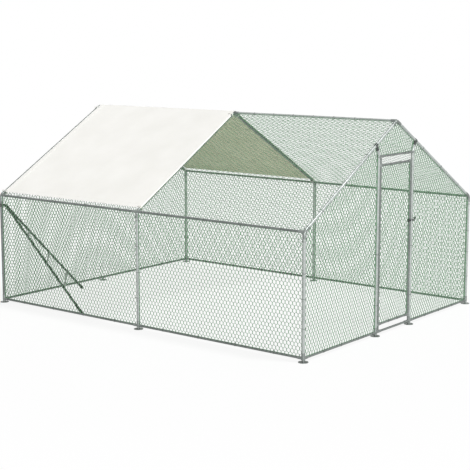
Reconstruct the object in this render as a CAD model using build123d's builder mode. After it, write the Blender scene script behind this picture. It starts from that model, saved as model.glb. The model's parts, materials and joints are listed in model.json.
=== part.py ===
"""Walk-in metal aviary of galvanised tube.

Two bays under a gable roof, hexagonal wire nets on the walls, gables and roof,
a cover over the left bay, a hinged netted door with a drop latch in the right
gable, and a three-rung perch in the front left corner.

Frame: origin on the ground at the centre, +X along the ridge towards the door
gable, +Y to the back, +Z up. Millimetres.
"""

import os
from math import atan2, cos, hypot, sin, sqrt

from build123d import *

os.makedirs("parts", exist_ok=True)

# Layout on the centre lines of the tubes
half_length = 1960.0
half_width = 1500.0
rail_height = 36.0
eave_height = 1157.0
ridge_height = 2030.0

# Tubes
post_r = 16.0
rafter_r = 14.0
rail_r = 11.0
tube_wall = 1.2
play = 0.2
end_gap = 1.0

# Elbows and feet that take the tube ends
casting_r = 18.0
peak_casting_r = 16.5
rail_socket_r = 13.6
elbow_bend = 48.0
post_arm = 62.0
rafter_arm = 70.0
rail_arm = 60.0
tube_seat = 30.0
rail_seat = 22.0
foot_plate_r = 46.0
foot_plate_t = 4.0
foot_stem_r = 12.0
foot_hub_bottom = 20.0
foot_hub_top = 84.0
foot_post_seat = 53.0
peg_hole_r = 4.5
peg_circle_r = 33.0
gable_foot_seat = 3.0

# Door opening in the right gable
door_post_y = 313.0
door_post_top_y = 360.0
door_post_bend = 50.0
door_clamp_seat = 22.0
door_clamp_arm = 50.0
door_clamp_half = 16.0
lintel_height = 1714.0
tee_half = 12.0
tee_r = 18.6
door_arm = 88.0
door_arm_seat = 51.0

# Door leaf
stile_y = 275.0
stile_r = 12.5
leaf_bottom = 107.0
leaf_top = 1629.0
leaf_clamp_r = 15.5
leaf_clamp_half = 15.0
leaf_socket_r = 13.5
leaf_socket_seat = 20.0
leaf_socket_arm = 50.0
hinge_stile_bottom = 57.5
hinge_stile_top = 1692.0

# Hinge pins and bushes
pin_r = 6.0
pin_depth = 15.0
pin_length = 60.0
pin_collar_r = 10.0
pin_collar_t = 4.0
pin_play = 0.05
bush_flange_t = 3.0
bush_length = 30.0

# Drop latch on the leaf and its keeper on the door post
latch_height = 1048.0
latch_bar_width = 12.0
latch_bar_t = 5.0
latch_bar_x = 20.4
latch_tail_y = 262.0
latch_bend_y = 340.0
latch_bend_r = 12.0
latch_tip = (350.0, 1067.0)
latch_knob_r = 11.0
latch_pivot_r = 4.0
latch_head_r = 7.5
latch_head_t = 4.5
latch_ring_half = 12.0
latch_boss_r = 8.0
latch_bore_start = 14.5
latch_head_gap = 0.4
latch_block = (15.0, 22.0, 30.0)
latch_block_offset = (11.5, -22.0)
keeper_wall = 2.0
keeper_gap = 0.5
keeper_ledge_t = 4.5
keeper_ledge_y = (303.0, 323.0)
keeper_ledge_x = (16.5, 28.0)

# Corner perch
perch_inset = 30.0
perch_top = 1050.0
perch_reach = 1020.0
perch_foot_inset = 150.0
perch_leg_r = 12.5
perch_rung_r = 10.0
perch_rung_shares = (0.30, 0.55, 0.78)
perch_ring_r = 19.0
perch_ring_half = 18.0
perch_socket_r = 15.0
perch_socket_depth = 38.0
perch_leg_start = 62.0
perch_leg_end = 16.0
perch_cap_r = 14.5
perch_cap_length = 60.0

# Hexagonal wire nets, drawn coarser than the real weave
net_cell = 146.0
net_wire = 3.0
net_band = 4.0
net_t = 1.2
smallest_gap = 400.0
post_margin = 24.0
rafter_margin = 24.0
rail_margin = 17.0
stile_margin = 19.0
bent_post_margin = 36.0
tie_t = 1.6
tie_width = 3.0
tie_play = 0.6

# Roof cover and its ties
cover_left = -1932.0
cover_right = 16.0
cover_lift = 19.0
cover_t = 1.2
cover_hem = 42.0
cover_ridge_bend = 30.0
cover_tie_distance = 56.0
cover_tie_side = 20.0
cover_tie_left_side = 41.0
cover_tie_above = 26.0
cover_tie_t = 2.5
cover_tie_width = 6.0
cover_tie_corner = 6.0
cover_hole_r = 5.0

# Screws
screw_r = 2.4
screw_head_r = 4.5
screw_head_t = 3.0
screw_length = 8.0
perch_screw_length = 38.0
rail_screw_inset = 12.0
post_screw_inset = 14.0
rafter_screw_inset = 26.0

# Directions and key points
up = Vector(0, 0, 1)
slope = atan2(ridge_height - eave_height, half_width)
slope_length = hypot(ridge_height - eave_height, half_width)
bays = {"left": -half_length, "middle": 0.0, "right": half_length}
walls = {"front": -1, "back": 1}


def eave(x, wall):
    """Corner where the post, the rafter and the top rail meet."""
    return Vector(x, wall * half_width, eave_height)


def apex(x):
    """Peak where two rafters and the ridge meet."""
    return Vector(x, 0, ridge_height)


def rising(wall):
    """Direction up a rafter, from the eave to the ridge."""
    return Vector(0, -wall * cos(slope), sin(slope))


def outward(wall):
    """Outward normal of a roof slope."""
    return Vector(0, wall * sin(slope), cos(slope))


def write(name, *pieces):
    """Write one node: a single piece, or a group of separate like pieces."""
    node = pieces[0] if len(pieces) == 1 else Compound(children=list(pieces))
    node.label = name
    export_step(node, f"parts/{name}.step", write_pcurves=False)


def tube(start, end, radius, wall=tube_wall):
    """Straight tube with square ends."""
    run = end - start
    with BuildPart() as piece:
        with BuildSketch(Plane(origin=start, z_dir=run)):
            Circle(radius)
            Circle(radius - wall, mode=Mode.SUBTRACT)
        extrude(amount=run.length)
    return piece.part


def rod(start, direction, length, radius, mode=Mode.ADD):
    """Add or cut a round bar in the part that is being built."""
    with Locations(Plane(origin=start, z_dir=direction)):
        Cylinder(radius, length, align=(Align.CENTER, Align.CENTER, Align.MIN), mode=mode)


def socket(centre, direction, seat, arm, radius):
    """Cut the bore that takes a tube end, from its seat to the arm's mouth."""
    rod(centre + direction * seat, direction, arm - seat + end_gap, radius + play, Mode.SUBTRACT)


screw_seats = []
leaf_screw_seats = []
rail_screw = rail_arm - rail_screw_inset
rafter_screw = rafter_arm - rafter_screw_inset


def seat_screw(seats, centre, direction, distance, radius, side):
    """Note a screw on a socket: at a distance along its axis, on the given side."""
    origin = centre + direction * distance + side * radius
    seats.append(Plane(origin=origin, z_dir=side))


# Posts and rafters
for wall_name, wall in walls.items():
    for bay_name, x in bays.items():
        post_foot = Vector(x, wall * half_width, foot_post_seat + end_gap)
        post_head = eave(x, wall) - up * (tube_seat + end_gap)
        write(f"post_{wall_name}_{bay_name}", tube(post_foot, post_head, post_r))

        rafter_start = eave(x, wall) + rising(wall) * (tube_seat + end_gap)
        rafter_end = apex(x) - rising(wall) * (tube_seat + end_gap)
        write(f"rafter_{wall_name}_{bay_name}", tube(rafter_start, rafter_end, rafter_r))


# Eave elbows: a bent casting on the post and rafter, with sockets for the top rails
def rail_directions(x):
    """Directions in which rails leave a post of the long walls."""
    return [Vector(step, 0, 0) for step in (-1, 1) if abs(x + step) < half_length]


def eave_elbow(x, wall):
    corner = eave(x, wall)
    foot_end = corner - up * post_arm
    with BuildPart() as piece:
        with BuildLine() as bend:
            FilletPolyline(foot_end, corner, corner + rising(wall) * rafter_arm, radius=elbow_bend)
        with BuildSketch(Plane(origin=foot_end, z_dir=up)):
            Circle(casting_r)
        sweep(path=bend.wires()[0])
        for direction in rail_directions(x):
            rod(corner, direction, rail_arm, rail_socket_r)
            socket(corner, direction, rail_seat, rail_arm, rail_r)
            seat_screw(screw_seats, corner, direction, rail_screw, rail_socket_r, Vector(0, -wall, 0))
        socket(corner, -up, tube_seat, post_arm, post_r)
        socket(corner, rising(wall), tube_seat, rafter_arm, rafter_r)
    seat_screw(screw_seats, corner, -up, post_arm - post_screw_inset, casting_r, Vector(0, -wall, 0))
    seat_screw(screw_seats, corner, rising(wall), rafter_screw, casting_r, -outward(wall))
    return piece.part


write("eave_corner_elbows", *[eave_elbow(x, wall) for x in (-half_length, half_length) for wall in (-1, 1)])
write("eave_middle_elbows", *[eave_elbow(0.0, wall) for wall in (-1, 1)])


# Peak elbows: a bent casting on two rafters, with sockets for the ridge
def peak_elbow(x):
    top = apex(x)
    front_end = top - rising(-1) * rafter_arm
    back_end = top - rising(1) * rafter_arm
    with BuildPart() as piece:
        with BuildLine() as bend:
            FilletPolyline(front_end, top, back_end, radius=elbow_bend)
        with BuildSketch(Plane(origin=front_end, z_dir=rising(-1))):
            Circle(peak_casting_r)
        sweep(path=bend.wires()[0])
        for direction in rail_directions(x):
            rod(top, direction, rail_arm, rail_socket_r)
            socket(top, direction, rail_seat, rail_arm, rail_r)
            seat_screw(screw_seats, top, direction, rail_screw, rail_socket_r, -up)
        for wall in (-1, 1):
            socket(top, -rising(wall), tube_seat, rafter_arm, rafter_r)
            seat_screw(screw_seats, top, -rising(wall), rafter_screw, peak_casting_r, -outward(wall))
    return piece.part


write("peak_end_elbows", peak_elbow(-half_length), peak_elbow(half_length))
write("peak_middle_elbow", peak_elbow(0.0))


# Rails of the two bays, and the ridge
def bay_rails(y, z):
    """The two rails along one line of the long side, one in each bay."""
    reach = rail_seat + end_gap
    ends = [(-half_length + reach, -reach), (reach, half_length - reach)]
    return [tube(Vector(start, y, z), Vector(end, y, z), rail_r) for start, end in ends]


write("ridge_tubes", *bay_rails(0, ridge_height))
write("top_rails", *bay_rails(-half_width, eave_height), *bay_rails(half_width, eave_height))
write("bottom_rails", *bay_rails(-half_width, rail_height), *bay_rails(half_width, rail_height))


# Feet: a round plate with two peg holes, a stem, a hub for the post and arms for the bottom rails
def foot(x, y, arms, hub=True):
    """arms maps a direction to the seat and the length of its rail socket."""
    centre = Vector(x, y, rail_height)
    with BuildPart() as piece:
        with BuildSketch(Plane(origin=(x, y, 0))):
            Circle(foot_plate_r)
            with PolarLocations(peg_circle_r, 2, start_angle=45):
                Circle(peg_hole_r, mode=Mode.SUBTRACT)
        extrude(amount=foot_plate_t)
        rod(Vector(x, y, 0), up, rail_height, foot_stem_r)
        if hub:
            rod(Vector(x, y, foot_hub_bottom), up, foot_hub_top - foot_hub_bottom, casting_r)
        for direction, (_, arm) in arms.items():
            rod(centre, Vector(*direction), arm, rail_socket_r)
        for direction, (seat, arm) in arms.items():
            socket(centre, Vector(*direction), seat, arm, rail_r)
            inside = Vector(0, -1 if y > 0 else 1, 0) if direction[0] else Vector(-1 if x > 0 else 1, 0, 0)
            seat_screw(screw_seats, centre, Vector(*direction), arm - rail_screw_inset, rail_socket_r, inside)
        if hub:
            socket(Vector(x, y, 0), up, foot_post_seat, foot_hub_top, post_r)
    if hub:
        inward = Vector(0, -1 if y > 0 else 1, 0) if abs(y) > door_post_y else Vector(-1, 0, 0)
        seat_screw(screw_seats, Vector(x, y, 0), up, foot_hub_top - rail_screw_inset, casting_r, inward)
    return piece.part


rail_end = (rail_seat, rail_arm)
corner_feet = []
for x in (-half_length, half_length):
    for y in (-half_width, half_width):
        along = (-1 if x > 0 else 1, 0, 0)
        across = (0, -1 if y > 0 else 1, 0)
        corner_feet.append(foot(x, y, {along: rail_end, across: rail_end}))
write("corner_feet", *corner_feet)

middle_arms = {(-1, 0, 0): rail_end, (1, 0, 0): rail_end}
write("middle_feet", foot(0, -half_width, middle_arms), foot(0, half_width, middle_arms))

gable_arms = {(0, -1, 0): (gable_foot_seat, rail_arm), (0, 1, 0): (gable_foot_seat, rail_arm)}
write("gable_foot", foot(-half_length, 0, gable_arms, hub=False))


# Hinge side of the door: arms of the foot and of the lintel tee hold the hinge pins
def pin_hole(height, direction):
    """Cut the hole of a hinge pin into the arm above or below it."""
    rod(Vector(half_length, -stile_y, height), direction, rail_socket_r + pin_depth, pin_r, Mode.SUBTRACT)


def door_foot(side):
    """Foot of a door post; side is -1 at the hinge and 1 at the latch."""
    arms = {(0, side, 0): rail_end, (0, -side, 0): (door_arm_seat, door_arm)}
    casting = foot(half_length, side * door_post_y, arms)
    with BuildPart() as piece:
        add(casting)
        if side < 0:
            pin_hole(rail_height + rail_socket_r - pin_depth, up)
    return piece.part


write("door_post_feet", door_foot(-1), door_foot(1))


def lintel_tee(side):
    centre = Vector(half_length, side * door_post_y, lintel_height)
    inward = Vector(0, -side, 0)
    with BuildPart() as piece:
        rod(centre - up * tee_half, up, 2 * tee_half, tee_r)
        rod(centre, inward, door_arm, rail_socket_r)
        socket(centre, inward, door_arm_seat, door_arm, rail_r)
        rod(centre - up * post_r, up, 2 * post_r, post_r + play, Mode.SUBTRACT)
        if side < 0:
            pin_hole(lintel_height - rail_socket_r + pin_depth, -up)
    seat_screw(screw_seats, centre, inward, door_arm - rail_screw_inset, rail_socket_r, Vector(-1, 0, 0))
    seat_screw(screw_seats, centre, up, 0, tee_r, Vector(-1, 0, 0))
    return piece.part


write("lintel_tees", lintel_tee(-1), lintel_tee(1))

door_reach = door_post_y - door_arm_seat - end_gap
for name, height in (("door_sill", rail_height), ("door_lintel", lintel_height)):
    bar_start = Vector(half_length, -door_reach, height)
    bar_end = Vector(half_length, door_reach, height)
    write(name, tube(bar_start, bar_end, rail_r))


# Bottom rails of the gables
def gable_rail(x, near, far):
    return tube(Vector(x, near, rail_height), Vector(x, far, rail_height), rail_r)


wall_end = half_width - rail_seat - end_gap
foot_end = gable_foot_seat + end_gap
door_end = door_post_y + rail_seat + end_gap
write("left_gable_rails", *[gable_rail(-half_length, side * foot_end, side * wall_end) for side in (-1, 1)])
write("right_gable_rails", *[gable_rail(half_length, side * door_end, side * wall_end) for side in (-1, 1)])


# Door posts: upright tubes whose tops bend to meet the rafters squarely
def door_post_top(side):
    """Point on the rafter's axis where a door post's top is clamped."""
    climb = (half_width - door_post_top_y) / cos(slope)
    return eave(half_length, side) + rising(side) * climb


def door_post(side):
    top = door_post_top(side)
    lean = (door_post_top_y - door_post_y) / sin(slope)
    bend_point = top - outward(side) * lean
    base = Vector(half_length, side * door_post_y, foot_post_seat + end_gap)
    clamped_end = top - outward(side) * (door_clamp_seat + end_gap)
    with BuildPart() as piece:
        with BuildLine() as run:
            FilletPolyline(base, bend_point, clamped_end, radius=door_post_bend)
        with BuildSketch(Plane(origin=base, z_dir=up)):
            Circle(post_r)
            Circle(post_r - tube_wall, mode=Mode.SUBTRACT)
        sweep(path=run.wires()[0])
    return piece.part


write("door_post_hinge_side", door_post(-1))
write("door_post_latch_side", door_post(1))


def rafter_clamp(side):
    top = door_post_top(side)
    along = rising(side)
    with BuildPart() as piece:
        rod(top - along * door_clamp_half, along, 2 * door_clamp_half, casting_r)
        rod(top, -outward(side), door_clamp_arm, tee_r)
        socket(top, -outward(side), door_clamp_seat, door_clamp_arm, post_r)
        rod(top - along * 2 * door_clamp_half, along, 4 * door_clamp_half, rafter_r + play, Mode.SUBTRACT)
    seat_screw(screw_seats, top, -outward(side), door_clamp_arm - post_screw_inset, tee_r, Vector(1, 0, 0))
    seat_screw(screw_seats, top, along, 0, casting_r, Vector(1, 0, 0))
    return piece.part


write("rafter_clamps", rafter_clamp(-1), rafter_clamp(1))

# Hinge pins: pressed into the arms, the lower one with a collar that carries the leaf
hinge_x_y = Vector(half_length, -stile_y, 0)
sill_top = rail_height + rail_socket_r
with BuildPart() as lower_pin:
    rod(hinge_x_y + up * (sill_top - pin_depth), up, pin_length, pin_r)
    rod(hinge_x_y + up * sill_top, up, pin_collar_t, pin_collar_r)
with BuildPart() as upper_pin:
    rod(hinge_x_y + up * (lintel_height - rail_socket_r + pin_depth), -up, pin_length, pin_r)
write("hinge_pins", lower_pin.part, upper_pin.part)


# Door leaf: two stiles, two rails, four corner clamps
def stile(y, bottom, top):
    return tube(Vector(half_length, y, bottom), Vector(half_length, y, top), stile_r)


write("leaf_hinge_stile", stile(-stile_y, hinge_stile_bottom, hinge_stile_top))
write("leaf_latch_stile", stile(stile_y, leaf_bottom - leaf_clamp_half, leaf_top + leaf_clamp_half))

leaf_reach = stile_y - leaf_socket_seat - end_gap
leaf_rails = []
for height in (leaf_bottom, leaf_top):
    rail_start = Vector(half_length, -leaf_reach, height)
    rail_stop = Vector(half_length, leaf_reach, height)
    leaf_rails.append(tube(rail_start, rail_stop, rail_r))
write("leaf_rails", *leaf_rails)


def leaf_clamp(side, height):
    centre = Vector(half_length, side * stile_y, height)
    inward = Vector(0, -side, 0)
    with BuildPart() as piece:
        rod(centre - up * leaf_clamp_half, up, 2 * leaf_clamp_half, leaf_clamp_r)
        rod(centre, inward, leaf_socket_arm, leaf_socket_r)
        socket(centre, inward, leaf_socket_seat, leaf_socket_arm, rail_r)
        rod(centre - up * 2 * leaf_clamp_half, up, 4 * leaf_clamp_half, stile_r + play, Mode.SUBTRACT)
    rail_fixing = leaf_socket_arm - rail_screw_inset
    seat_screw(leaf_screw_seats, centre, inward, rail_fixing, leaf_socket_r, Vector(-1, 0, 0))
    seat_screw(leaf_screw_seats, centre, up, 0, leaf_clamp_r, Vector(-1, 0, 0))
    return piece.part


write("leaf_corner_clamps", *[leaf_clamp(side, z) for side in (-1, 1) for z in (leaf_bottom, leaf_top)])


def hinge_bush(mouth, inwards):
    """Flanged bush in an end of the hinge stile; inwards points into the stile."""
    start = hinge_x_y + up * mouth
    with BuildPart() as piece:
        rod(start - inwards * bush_flange_t, inwards, bush_flange_t, stile_r)
        rod(start, inwards, bush_length, stile_r - tube_wall - play / 2)
        rod(start - inwards * bush_flange_t, inwards, bush_length * 2, pin_r + pin_play, Mode.SUBTRACT)
    return piece.part


write("hinge_bushes", hinge_bush(hinge_stile_bottom, up), hinge_bush(hinge_stile_top, -up))

# Drop latch: a clamp with a boss on the stile, a pivot bolt, and a bar that rests on the keeper
out = Vector(1, 0, 0)
latch_centre = Vector(half_length, stile_y, latch_height)
with BuildPart() as latch_clamp:
    rod(latch_centre - up * latch_ring_half, up, 2 * latch_ring_half, leaf_clamp_r)
    rod(latch_centre, out, latch_bar_x - play * 2, latch_boss_r)
    with Locations((half_length + latch_block_offset[0], stile_y + latch_block_offset[1], latch_height)):
        Box(*latch_block)
    rod(latch_centre - up * 3 * latch_ring_half, up, 6 * latch_ring_half, stile_r + play, Mode.SUBTRACT)
    rod(latch_centre + out * latch_bore_start, out, latch_bar_x, latch_pivot_r, Mode.SUBTRACT)
latch_clamp.part.label = "latch_clamp"
export_step(latch_clamp.part, "parts/latch_clamp.step", write_pcurves=False)

with BuildPart() as latch_pivot:
    head_seat = latch_bar_x + latch_bar_t + latch_head_gap
    rod(latch_centre + out * latch_bore_start, out, head_seat - latch_bore_start, latch_pivot_r)
    rod(latch_centre + out * head_seat, out, latch_head_t, latch_head_r)
latch_pivot.part.label = "latch_pivot"
export_step(latch_pivot.part, "parts/latch_pivot.step", write_pcurves=False)

with BuildPart() as latch_bar:
    with BuildSketch(Plane.YZ.offset(half_length + latch_bar_x)):
        with BuildLine():
            tail = (latch_tail_y, latch_height)
            FilletPolyline(tail, (latch_bend_y, latch_height), latch_tip, radius=latch_bend_r)
        trace(line_width=latch_bar_width)
        with Locations((latch_tail_y, latch_height)):
            Circle(latch_bar_width / 2)
        with Locations(latch_tip):
            Circle(latch_knob_r)
        with Locations((stile_y, latch_height)):
            Circle(latch_pivot_r + pin_play, mode=Mode.SUBTRACT)
    extrude(amount=latch_bar_t)
latch_bar.part.label = "latch_bar"
export_step(latch_bar.part, "parts/latch_bar.step", write_pcurves=False)

keeper_centre = Vector(half_length, door_post_y, latch_height)
ledge_top = latch_height - latch_bar_width / 2 - keeper_gap
with BuildPart() as latch_keeper:
    rod(keeper_centre - up * latch_ring_half, up, 2 * latch_ring_half, post_r + play + keeper_wall)
    with BuildSketch(Plane.XY.offset(ledge_top - keeper_ledge_t)):
        with Locations((half_length + sum(keeper_ledge_x) / 2, sum(keeper_ledge_y) / 2)):
            Rectangle(keeper_ledge_x[1] - keeper_ledge_x[0], keeper_ledge_y[1] - keeper_ledge_y[0])
    extrude(amount=keeper_ledge_t)
    rod(keeper_centre - up * 2 * latch_ring_half, up, 4 * latch_ring_half, post_r + play, Mode.SUBTRACT)
latch_keeper.part.label = "latch_keeper"
export_step(latch_keeper.part, "parts/latch_keeper.step", write_pcurves=False)

# Corner perch: a clamp head on the post, two legs that slope down and inwards, three rungs between them
post_axis = Vector(-half_length, -half_width, perch_top)
perch_corner = post_axis + Vector(perch_inset, perch_inset, 0)
leg_spans = {
    "front": post_axis + Vector(perch_reach, perch_foot_inset, -perch_top) - perch_corner,
    "side": post_axis + Vector(perch_foot_inset, perch_reach, -perch_top) - perch_corner,
}
leg_runs = {leg_name: span.normalized() for leg_name, span in leg_spans.items()}
leg_stop = leg_spans["front"].length * (perch_top - perch_leg_end) / perch_top

with BuildPart() as perch_head:
    rod(post_axis - up * perch_ring_half, up, 2 * perch_ring_half, perch_ring_r)
    rod(post_axis, Vector(1, 1, 0), perch_inset * sqrt(2), perch_socket_r)
    for run in leg_runs.values():
        rod(perch_corner, run, perch_leg_start + perch_socket_depth, perch_socket_r)
    for run in leg_runs.values():
        mouth = perch_leg_start + perch_socket_depth
        socket(perch_corner, run, perch_leg_start - end_gap, mouth, perch_leg_r)
    rod(post_axis - up * 3 * perch_ring_half, up, 6 * perch_ring_half, post_r + play, Mode.SUBTRACT)
perch_head.part.label = "perch_head"
export_step(perch_head.part, "parts/perch_head.step", write_pcurves=False)

for leg_name, run in leg_runs.items():
    leg_top = perch_corner + run * perch_leg_start
    leg_foot = perch_corner + run * leg_stop
    write(f"perch_leg_{leg_name}", tube(leg_top, leg_foot, perch_leg_r))


def perch_rung(share):
    """Rung between the legs, at a share of their length, its ends hollowed to fit round them."""
    front_end = perch_corner + leg_spans["front"] * share
    side_end = perch_corner + leg_spans["side"] * share
    span = side_end - front_end
    with BuildPart() as piece:
        with BuildSketch(Plane(origin=front_end, z_dir=span)):
            Circle(perch_rung_r)
            Circle(perch_rung_r - tube_wall, mode=Mode.SUBTRACT)
        extrude(amount=span.length)
        for run in leg_runs.values():
            rod(perch_corner, run, leg_stop, perch_leg_r + play, Mode.SUBTRACT)
    return piece.part, front_end, side_end


def perch_cap(run):
    """Foot cap on a leg, cut flat on the ground."""
    leg_end = perch_corner + run * leg_stop
    with BuildPart() as piece:
        rod(leg_end - run * perch_cap_length, run, 2 * perch_cap_length, perch_cap_r)
        split(bisect_by=Plane.XY, keep=Keep.TOP)
        bore_start = leg_end - run * 2 * perch_cap_length
        rod(bore_start, run, 2 * perch_cap_length + end_gap, perch_leg_r + play, Mode.SUBTRACT)
    return piece.part


perch_screw_seats = []
perch_rungs = []
for share in perch_rung_shares:
    rung, front_end, side_end = perch_rung(share)
    perch_rungs.append(rung)
    across = (side_end - front_end).normalized()
    seat_screw(perch_screw_seats, front_end, across, 0, perch_leg_r, -across)
    seat_screw(perch_screw_seats, side_end, across, 0, perch_leg_r, across)
write("perch_rungs", *perch_rungs)
write("perch_end_caps", *[perch_cap(run) for run in leg_runs.values()])


# Screws: a pan head outside, a shank through the walls of socket and tube
def screw(seat, length):
    with BuildPart() as piece:
        rod(seat.origin, seat.z_dir, screw_head_t, screw_head_r)
        rod(seat.origin, -seat.z_dir, length, screw_r)
    return piece.part


frame_screws = [screw(seat, screw_length) for seat in screw_seats]
frame_screws += [screw(seat, perch_screw_length) for seat in perch_screw_seats]
write("frame_screws", *frame_screws)
write("leaf_screws", *[screw(seat, screw_length) for seat in leaf_screw_seats])


# Hexagonal nets: one holed face each, laced to the tubes with wire ties
def inset(corners, margins):
    """Move each side of a counter-clockwise outline inwards by its margin."""
    moved = []
    for index, corner in enumerate(corners):
        following = corners[(index + 1) % len(corners)]
        run = (Vector(*following) - Vector(*corner)).normalized()
        inner = Vector(*corner) + Vector(-run.Y, run.X) * margins[index]
        moved.append((inner, run))
    points = []
    for index, (point, run) in enumerate(moved):
        before, run_before = moved[index - 1]
        gap = point - before
        turn = run_before.X * run.Y - run_before.Y * run.X
        reach = (gap.X * run.Y - gap.Y * run.X) / turn
        crossing = before + run_before * reach
        points.append((crossing.X, crossing.Y))
    return points


def net_grid(corners, margins):
    """Outline, inner outline, pitch and row height of the net inside some tubes."""
    outline = inset(corners, margins)
    inner = inset(outline, [net_band] * len(corners))
    left = min(u for u, _ in inner)
    width = max(u for u, _ in inner) - left
    pitch = width / round(width / net_cell)
    return outline, inner, pitch, pitch * sqrt(3) / 2


def net(plane, corners, margins):
    outline, inner, pitch, row = net_grid(corners, margins)
    left = min(u for u, _ in inner)
    right = max(u for u, _ in inner)
    bottom = min(v for _, v in inner)
    top = max(v for _, v in inner)
    centres = []
    for line in range(int((top - bottom) / row) + 2):
        shift = pitch / 2 if line % 2 else 0
        for column in range(int((right - left) / pitch) + 2):
            centres.append((left + shift + column * pitch, bottom + line * row))
    with BuildSketch() as gaps:
        with Locations(*centres):
            RegularPolygon((pitch - net_wire) / 2, 6, major_radius=False, rotation=30)
        Polygon(*inner, align=None, mode=Mode.INTERSECT)
    open_gaps = gaps.faces().filter_by(lambda gap: gap.area > smallest_gap)
    with BuildPart() as piece:
        with BuildSketch(plane.offset(-net_t / 2)):
            Polygon(*outline, align=None)
            add(open_gaps, mode=Mode.SUBTRACT)
        extrude(amount=net_t)
    return piece.part


def tie(plane, point, along, inward, radius, margin):
    """Wire loop round a tube and a net's edge; point is on the tube's axis in the net's plane."""
    reach = margin + net_band + tie_play
    seat = Plane(
        origin=plane.from_local_coords(point),
        x_dir=plane.from_local_coords(Vector(*inward)) - plane.origin,
        z_dir=plane.from_local_coords(Vector(*along)) - plane.origin,
    )
    inside = 2 * (radius + tie_play)
    with BuildPart() as piece:
        with BuildSketch(seat.offset(-tie_width / 2)):
            with Locations(((reach - radius - tie_play) / 2, 0)):
                SlotOverall(reach + radius + tie_play + 2 * tie_t, inside + 2 * tie_t)
                SlotOverall(reach + radius + tie_play, inside, mode=Mode.SUBTRACT)
        extrude(amount=tie_width)
    return piece.part


def panel_ties(plane, corners, margins, radii, columns, rows):
    """Ties of a net: columns along its lower and upper ends, rows along its two sides.

    radii holds the radius of the tubes at the ends, then of those at the sides.
    """
    end_radius, side_radius = radii
    _, inner, pitch, row = net_grid(corners, margins)
    first = min(u for u, _ in inner)
    bottom = min(v for _, v in inner)
    top = max(v for _, v in inner)
    last_shift = round((top - bottom) / row) % 2 / 2
    left = min(u for u, _ in corners)
    right = max(u for u, _ in corners)
    loops = []
    for column in columns:
        lower = (first + column * pitch, corners[0][1])
        loops.append(tie(plane, lower, (1, 0), (0, 1), end_radius, margins[0]))
        if len(corners) == 4:
            upper = (first + (column + last_shift) * pitch, corners[2][1])
            loops.append(tie(plane, upper, (1, 0), (0, -1), end_radius, margins[2]))
    for line in rows:
        height = bottom + line * row
        loops.append(tie(plane, (left, height), (0, 1), (1, 0), side_radius, margins[-1]))
        loops.append(tie(plane, (right, height), (0, 1), (-1, 0), side_radius, margins[1]))
    return loops


bay_spans = {"left": (-half_length, 0.0), "right": (0.0, half_length)}
wall_margins = [rail_margin, post_margin, rail_margin, post_margin]
roof_margins = [rafter_margin, rail_margin, rafter_margin, rail_margin]
wall_tubes = (rail_r, post_r)
roof_tubes = (rafter_r, rail_r)
wall_columns = (2, 5, 8, 11)
wall_rows = {"left": (2, 6), "right": (4, 8)}
roof_columns = {"left": (3, 6, 9), "right": (2, 5, 8)}
roof_rows = {"front": (2, 6, 10), "back": (4, 8, 12)}
net_ties = []

for wall_name, wall in walls.items():
    wall_plane = Plane(origin=(0, wall * half_width, 0), x_dir=(1, 0, 0), z_dir=(0, -1, 0))
    roof_plane = Plane(origin=eave(0, wall), x_dir=rising(wall), z_dir=rising(wall).cross(Vector(1, 0, 0)))
    wall_nets = []
    roof_nets = []
    for bay_name, (x0, x1) in bay_spans.items():
        bay = [(x0, rail_height), (x1, rail_height), (x1, eave_height), (x0, eave_height)]
        wall_nets.append(net(wall_plane, bay, wall_margins))
        net_ties += panel_ties(wall_plane, bay, wall_margins, wall_tubes, wall_columns, wall_rows[bay_name])
        bay = [(0, x0), (slope_length, x0), (slope_length, x1), (0, x1)]
        roof_nets.append(net(roof_plane, bay, roof_margins))
        columns, rows = roof_columns[bay_name], roof_rows[wall_name]
        net_ties += panel_ties(roof_plane, bay, roof_margins, roof_tubes, columns, rows)
    write(f"{wall_name}_wall_nets", *wall_nets)
    write(f"{wall_name}_roof_nets", *roof_nets)

# Gable nets, drawn in planes whose first axis is +Y
left_plane = Plane(origin=(-half_length, 0, 0), x_dir=(0, 1, 0), z_dir=(1, 0, 0))
right_plane = Plane(origin=(half_length, 0, 0), x_dir=(0, 1, 0), z_dir=(1, 0, 0))
gable = [
    (-half_width, rail_height),
    (half_width, rail_height),
    (half_width, eave_height),
    (0, ridge_height),
    (-half_width, eave_height),
]
gable_margins = [rail_margin, post_margin, rafter_margin, rafter_margin, post_margin]
left_gable_net = net(left_plane, gable, gable_margins)
write("left_gable_net", left_gable_net)
net_ties += panel_ties(left_plane, gable, gable_margins, wall_tubes, (3, 7, 13, 17), (4, 8))

clamp_point = door_post_top(1)
bend_height = clamp_point.Z - (door_post_top_y - door_post_y) / sin(slope) * cos(slope)
back_side = [
    (door_post_y, rail_height),
    (half_width, rail_height),
    (half_width, eave_height),
    (door_post_top_y, clamp_point.Z),
    (door_post_y, bend_height),
]
mirrored = [(-y, z) for y, z in reversed(back_side)]
front_side = mirrored[3:] + mirrored[:3]
back_margins = [rail_margin, post_margin, rafter_margin, post_margin, post_margin]
front_margins = [rail_margin, post_margin, post_margin, rafter_margin, post_margin]
above_door = [
    (-door_post_y, lintel_height),
    (door_post_y, lintel_height),
    (door_post_top_y, clamp_point.Z),
    (0, ridge_height),
    (-door_post_top_y, clamp_point.Z),
]
above_margins = [rail_margin, bent_post_margin, rafter_margin, rafter_margin, bent_post_margin]
right_gable_nets = [
    net(right_plane, front_side, front_margins),
    net(right_plane, back_side, back_margins),
    net(right_plane, above_door, above_margins),
]
write("right_gable_nets", *right_gable_nets)
net_ties += panel_ties(right_plane, front_side, front_margins, wall_tubes, (2, 4, 6), (2, 6))
net_ties += panel_ties(right_plane, back_side, back_margins, wall_tubes, (2, 4, 6), (2, 6))
net_ties += panel_ties(right_plane, above_door, above_margins, wall_tubes, (1, 3), ())
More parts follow.
